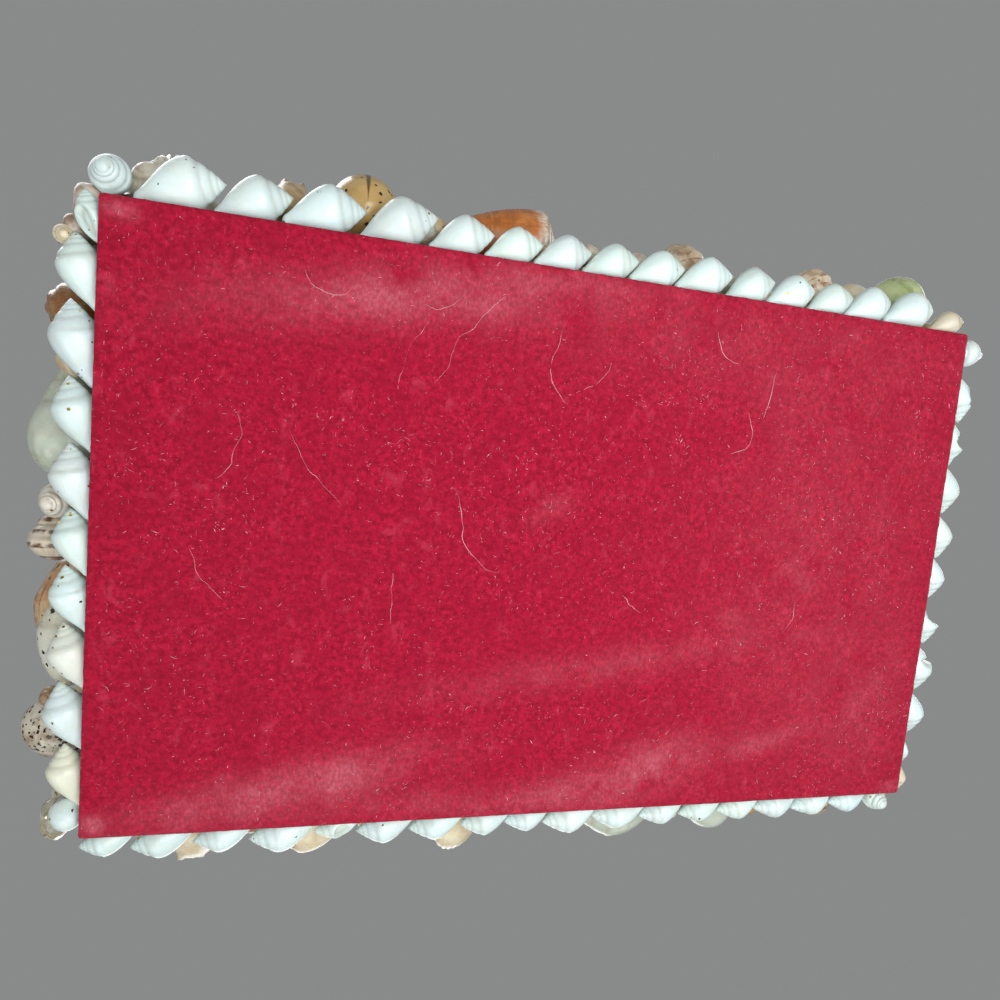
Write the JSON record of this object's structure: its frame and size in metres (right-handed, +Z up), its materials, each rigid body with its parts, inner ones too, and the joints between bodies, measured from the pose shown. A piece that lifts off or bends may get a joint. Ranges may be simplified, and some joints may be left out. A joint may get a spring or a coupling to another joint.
{
  "type": "shell box",
  "caption": "Small oblong trinket box with a lift-off lid, covered in glued sea shells, a rope of white shells round its foot and crimson felt underneath.",
  "frame": {"origin": "middle of the felt's underside, on the surface that the box stands on", "axes": "+X along the length of the box, +Y towards its back, +Z up through the lid"},
  "size_m": [0.186, 0.125, 0.0544],
  "materials": {
    "crimson_felt": "flocked, matt, with pale lint",
    "box_wood": "bare thin board",
    "white_shell": "glossy sea shell",
    "cream_shell": "glossy sea shell",
    "tan_shell": "satin sea shell",
    "orange_shell": "glossy sea shell",
    "brown_shell": "satin sea shell",
    "green_shell": "glossy sea shell"
  },
  "bodies": {
    "root": {"back_foot_rope": "white_shell", "back_lid_rope": "white_shell", "back_wall": "box_wood", "back_wall_cream_olive": "cream_shell", "back_wall_cream_turban": "cream_shell", "back_wall_green_olive": "green_shell", "back_wall_grey_nerite": "green_shell", "back_wall_knobbed_whelk": "cream_shell", "back_wall_pale_whelk": "orange_shell", "back_wall_small_turban": "brown_shell", "back_wall_upper_row": "cream_shell", "base_board": "box_wood", "felt_underside": "crimson_felt", "front_foot_rope": "white_shell", "front_lid_rope": "white_shell", "front_wall": "box_wood", "front_wall_dotted_cowrie": "tan_shell", "front_wall_green_nerite": "green_shell", "front_wall_orange_cone": "orange_shell", "front_wall_pale_dove": "tan_shell", "front_wall_ribbed_cockle": "cream_shell", "front_wall_streaked_whelk": "brown_shell", "front_wall_striped_whelk": "orange_shell", "front_wall_tan_auger": "tan_shell", "front_wall_upper_row": "cream_shell", "left_foot_rope": "white_shell", "left_lid_rope": "white_shell", "left_wall": "box_wood", "left_wall_green_olive": "green_shell", "left_wall_ochre_whelk": "brown_shell", "left_wall_orange_auger": "orange_shell", "left_wall_speckled_olive": "white_shell", "left_wall_spotted_nerite": "white_shell", "left_wall_striped_turban": "brown_shell", "left_wall_upper_row": "cream_shell", "lid_board": "box_wood", "lid_cockle_left": "cream_shell", "lid_cockle_right": "cream_shell", "lid_cone_back_left": "orange_shell", "lid_cone_back_right": "orange_shell", "lid_cone_front_left": "orange_shell", "lid_cone_front_right": "orange_shell", "lid_locating_board": "box_wood", "lid_olive_1": "cream_shell", "lid_olive_2": "cream_shell", "lid_olive_3": "cream_shell", "lid_olive_4": "cream_shell", "lid_olive_5": "cream_shell", "lid_olive_6": "cream_shell", "lid_turban": "brown_shell", "right_foot_rope": "white_shell", "right_lid_rope": "white_shell", "right_wall": "box_wood", "right_wall_brown_cone": "brown_shell", "right_wall_cream_turban": "cream_shell", "right_wall_orange_whelk": "orange_shell", "right_wall_spotted_cowrie": "white_shell", "right_wall_tan_olive": "tan_shell", "right_wall_upper_row": "cream_shell"}
  },
  "joints": []
}
